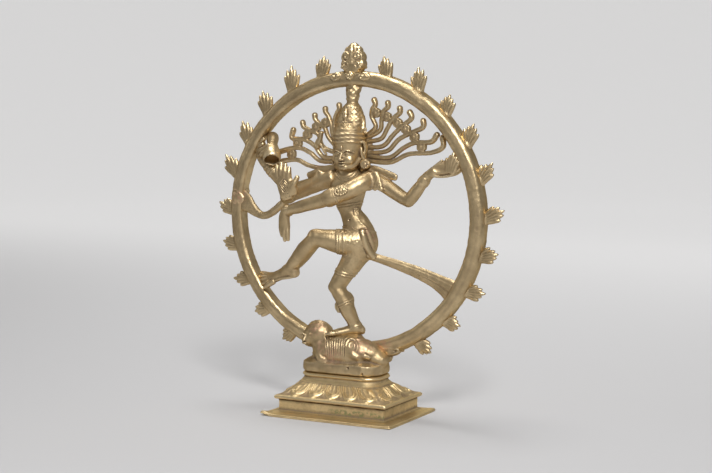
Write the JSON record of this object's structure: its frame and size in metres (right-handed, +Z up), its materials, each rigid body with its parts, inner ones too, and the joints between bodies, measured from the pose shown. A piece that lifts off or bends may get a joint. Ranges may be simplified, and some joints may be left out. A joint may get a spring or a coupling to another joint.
{
  "type": "dancing shiva figure",
  "caption": "Cast brass dancing Shiva inside a ring of flames, standing on a crouching dwarf over a rectangular lotus pedestal.",
  "frame": {"origin": "centre of the foot plate's underside, which the object stands on", "axes": "+Z up, -Y out of the figure's front, +X to the viewer's right"},
  "size_m": [0.2464, 0.079, 0.2848],
  "materials": {
    "pedestal_brass": "cast and lightly buffed, dull with age, brown in the carving",
    "figure_brass": "cast and buffed, with bright high spots and brown recesses",
    "ring_brass": "cast, buffed along its rounded front and grainy on its sides"
  },
  "bodies": {
    "root": {"lotus_pedestal": "pedestal_brass", "dancing_figure": "figure_brass", "flame_ring": "ring_brass"}
  },
  "joints": []
}
